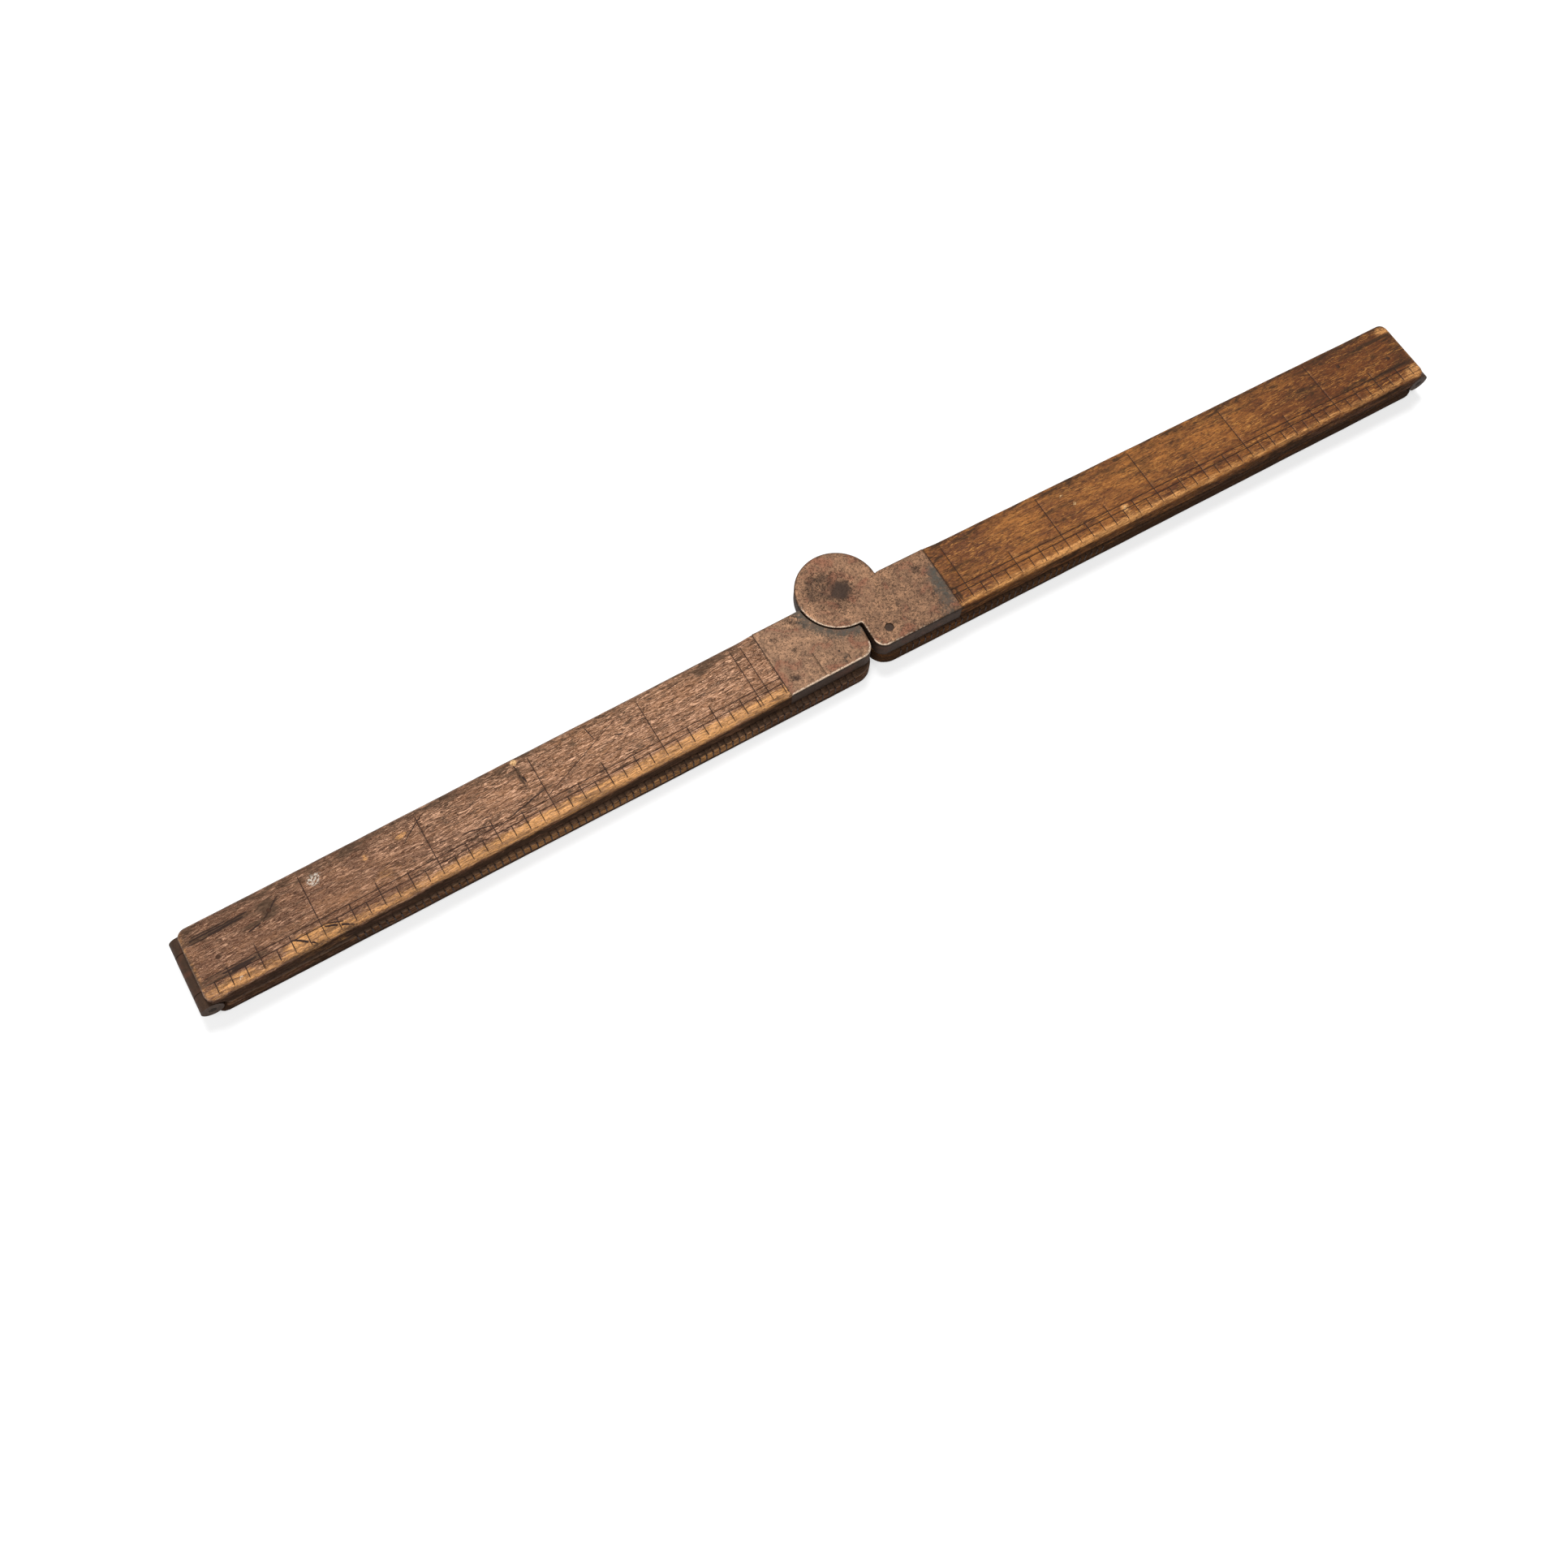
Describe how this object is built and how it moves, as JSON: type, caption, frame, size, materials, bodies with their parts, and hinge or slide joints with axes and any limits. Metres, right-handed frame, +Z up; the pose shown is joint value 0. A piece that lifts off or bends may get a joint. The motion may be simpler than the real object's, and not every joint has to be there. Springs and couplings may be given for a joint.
{
  "type": "folding ruler",
  "caption": "Folding wooden rule lying open at its round-headed brass middle joint, with hinged outer limbs folded flat underneath the inner ones.",
  "frame": {"origin": "on the plane that the rule rests on, on the line where the two arms meet, half way across the width of the inner limbs", "axes": "+X along the rule, from the left arm to the right arm; +Y across the rule, towards the round head of the middle joint; +Z up, out of the upper face"},
  "size_m": [0.3094, 0.0292, 0.0091],
  "materials": {
    "wood_left_inner": "worn satin",
    "wood_right_inner": "worn satin",
    "wood_left_outer": "worn satin",
    "wood_right_outer": "worn satin",
    "brass_left_plates": "tarnished",
    "brass_right_plates": "tarnished",
    "brass_core": "tarnished",
    "brass_edges": "tarnished",
    "brass_rivets": "tarnished",
    "brass_pivot": "tarnished",
    "brass_hinge": "worn",
    "leaf_pins": "tarnished",
    "hinge_pins": "dull"
  },
  "bodies": {
    "left_arm": {"left_limb": "wood_left_inner", "left_cheek_top": "brass_left_plates", "left_cheek_bottom": "brass_left_plates", "middle_leaf": "brass_core", "left_edge_plates": "brass_edges", "left_plate_rivets": "brass_rivets", "left_strap_leaf": "brass_hinge", "left_strap_pins": "leaf_pins"},
    "right_arm": {"right_limb": "wood_right_inner", "head_plate_top": "brass_right_plates", "head_plate_bottom": "brass_right_plates", "filler_leaf": "brass_core", "right_edge_plates": "brass_edges", "right_plate_rivets": "brass_rivets", "joint_pivot": "brass_pivot", "right_strap_leaf": "brass_hinge", "right_strap_pins": "leaf_pins"},
    "left_outer": {"left_outer_limb": "wood_left_outer", "left_fork_leaf": "brass_hinge", "left_fork_pins": "leaf_pins", "left_hinge_pin": "hinge_pins"},
    "right_outer": {"right_outer_limb": "wood_right_outer", "right_fork_leaf": "brass_hinge", "right_fork_pins": "leaf_pins", "right_hinge_pin": "hinge_pins"}
  },
  "joints": [
    {"name": "main_joint", "type": "hinge", "parent": "left_arm", "child": "right_arm", "pos_m": [0, 0.00855, 0.0069], "axis": [0, 0, 1], "range_deg": [0, 181.1]},
    {"name": "left_fold", "type": "hinge", "parent": "left_arm", "child": "left_outer", "pos_m": [-0.1524, 0, 0.00455], "axis": [0, 1, 0], "range_deg": [0, 180]},
    {"name": "right_fold", "type": "hinge", "parent": "right_arm", "child": "right_outer", "pos_m": [0.15221, -0.00292, 0.00455], "axis": [-0.0192, -0.9998, 0], "range_deg": [0, 180]}
  ]
}
